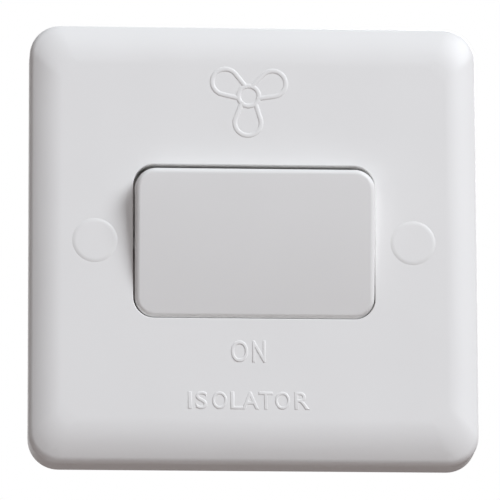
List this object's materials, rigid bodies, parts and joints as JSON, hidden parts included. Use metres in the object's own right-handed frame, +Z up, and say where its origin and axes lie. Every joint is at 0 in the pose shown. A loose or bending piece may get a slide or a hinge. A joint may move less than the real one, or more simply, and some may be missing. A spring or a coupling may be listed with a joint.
{
  "type": "fan isolator switch",
  "caption": "White square wall plate with a wide rocker that opens and closes three see-saw contacts to isolate a fan, with screw terminals behind.",
  "frame": {"origin": "centre of the plate's rear rim, midway between the two fixing screws on the wall plane", "axes": "+Y into the wall along the fixing screws, front faces -Y, +Z up the wall, +X right seen from the front"},
  "size_m": [0.085, 0.034, 0.085],
  "materials": {
    "white_moulding": "glossy white moulding",
    "base_moulding": "satin off-white moulding",
    "nylon": "natural nylon",
    "brass": "machined brass",
    "copper": "stamped copper alloy",
    "silver": "silver alloy contact",
    "plated_steel": "bright zinc plate",
    "spring_steel": "drawn spring wire"
  },
  "bodies": {
    "housing": {"front_plate": "white_moulding", "switch_base": "base_moulding", "fixing_screws": "plated_steel", "screw_cap_left": "white_moulding", "screw_cap_right": "white_moulding", "base_screws": "plated_steel", "terminal_screws": "plated_steel", "fixed_contact_live": "silver", "load_strip_live": "copper", "line_strip_live": "copper", "load_terminal_live": "brass", "line_terminal_live": "brass", "fixed_contact_switched": "silver", "load_strip_switched": "copper", "line_strip_switched": "copper", "load_terminal_switched": "brass", "line_terminal_switched": "brass", "fixed_contact_neutral": "silver", "load_strip_neutral": "copper", "line_strip_neutral": "copper", "load_terminal_neutral": "brass", "line_terminal_neutral": "brass"},
    "rocker": {"rocker": "white_moulding", "spring_live": "spring_steel", "spring_switched": "spring_steel", "spring_neutral": "spring_steel"},
    "plunger_live": {"plunger_live": "nylon"},
    "blade_live": {"contact_blade_live": "copper", "moving_contact_live": "silver"},
    "plunger_switched": {"plunger_switched": "nylon"},
    "blade_switched": {"contact_blade_switched": "copper", "moving_contact_switched": "silver"},
    "plunger_neutral": {"plunger_neutral": "nylon"},
    "blade_neutral": {"contact_blade_neutral": "copper", "moving_contact_neutral": "silver"}
  },
  "joints": [
    {"name": "rocker_tilt", "type": "hinge", "parent": "housing", "child": "rocker", "pos_m": [0, -0.00638, 0], "axis": [-1, 0, 0], "range_deg": [0, 20]},
    {"name": "blade_swing_live", "type": "hinge", "parent": "housing", "child": "blade_live", "pos_m": [-0.0135, 0.00455, 0], "axis": [1, 0, 0], "range_deg": [0, 20]},
    {"name": "plunger_slide_live", "type": "slide", "parent": "rocker", "child": "plunger_live", "axis": [0, -0.9848, -0.1736], "range_m": [0, 0.0009], "stiffness_N_per_m": 300, "springref_m": -0.002, "deforming": ["spring_live"]},
    {"name": "blade_swing_switched", "type": "hinge", "parent": "housing", "child": "blade_switched", "pos_m": [0, 0.00455, 0], "axis": [1, 0, 0], "range_deg": [0, 20]},
    {"name": "plunger_slide_switched", "type": "slide", "parent": "rocker", "child": "plunger_switched", "axis": [0, -0.9848, -0.1736], "range_m": [0, 0.0009], "stiffness_N_per_m": 300, "springref_m": -0.002, "deforming": ["spring_switched"]},
    {"name": "blade_swing_neutral", "type": "hinge", "parent": "housing", "child": "blade_neutral", "pos_m": [0.0135, 0.00455, 0], "axis": [1, 0, 0], "range_deg": [0, 20]},
    {"name": "plunger_slide_neutral", "type": "slide", "parent": "rocker", "child": "plunger_neutral", "axis": [0, -0.9848, -0.1736], "range_m": [0, 0.0009], "stiffness_N_per_m": 300, "springref_m": -0.002, "deforming": ["spring_neutral"]}
  ],
  "couplings": [
    {"joint": "blade_swing_live", "follows": "rocker_tilt", "ratio": 1},
    {"joint": "blade_swing_switched", "follows": "rocker_tilt", "ratio": 1},
    {"joint": "blade_swing_neutral", "follows": "rocker_tilt", "ratio": 1}
  ]
}
